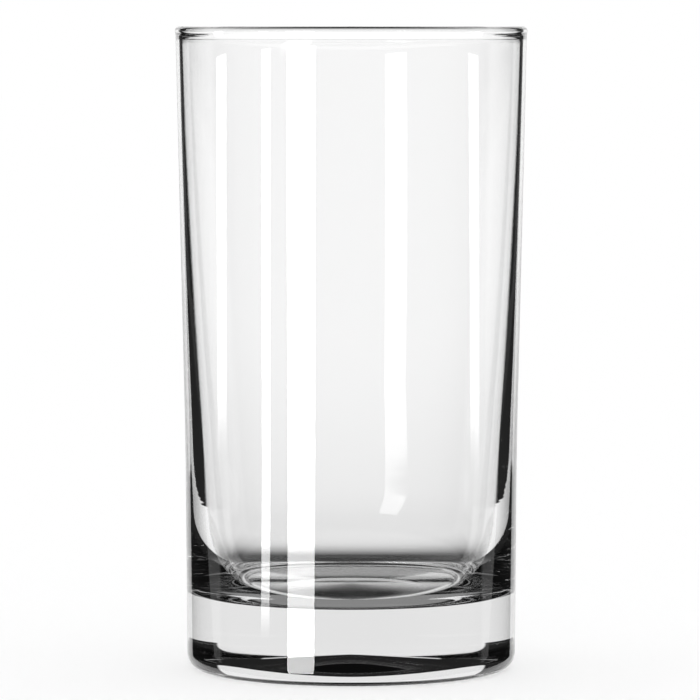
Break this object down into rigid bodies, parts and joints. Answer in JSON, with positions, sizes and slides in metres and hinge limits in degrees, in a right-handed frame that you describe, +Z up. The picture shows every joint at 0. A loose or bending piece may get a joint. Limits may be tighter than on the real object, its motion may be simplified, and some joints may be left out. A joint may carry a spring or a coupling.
{
  "type": "drinking glass",
  "caption": "Tall clear glass tumbler with a gently flared side, a rounded bead at the rim and a thick solid base under a bowl with rounded corners, for cold drinks.",
  "frame": {"origin": "on the glass's axis, in the plane of the table that the bearing ring stands on", "axes": "+Z up along the axis, towards the rim; X and Y are alike, because the glass is round"},
  "size_m": [0.0678, 0.0678, 0.124],
  "materials": {
    "clear_glass": "fire-polished, smooth and colourless, with a faint waviness from pressing"
  },
  "bodies": {
    "root": {"bearing_ring": "clear_glass", "heavy_base": "clear_glass", "side_wall": "clear_glass", "rim_bead": "clear_glass"}
  },
  "joints": []
}
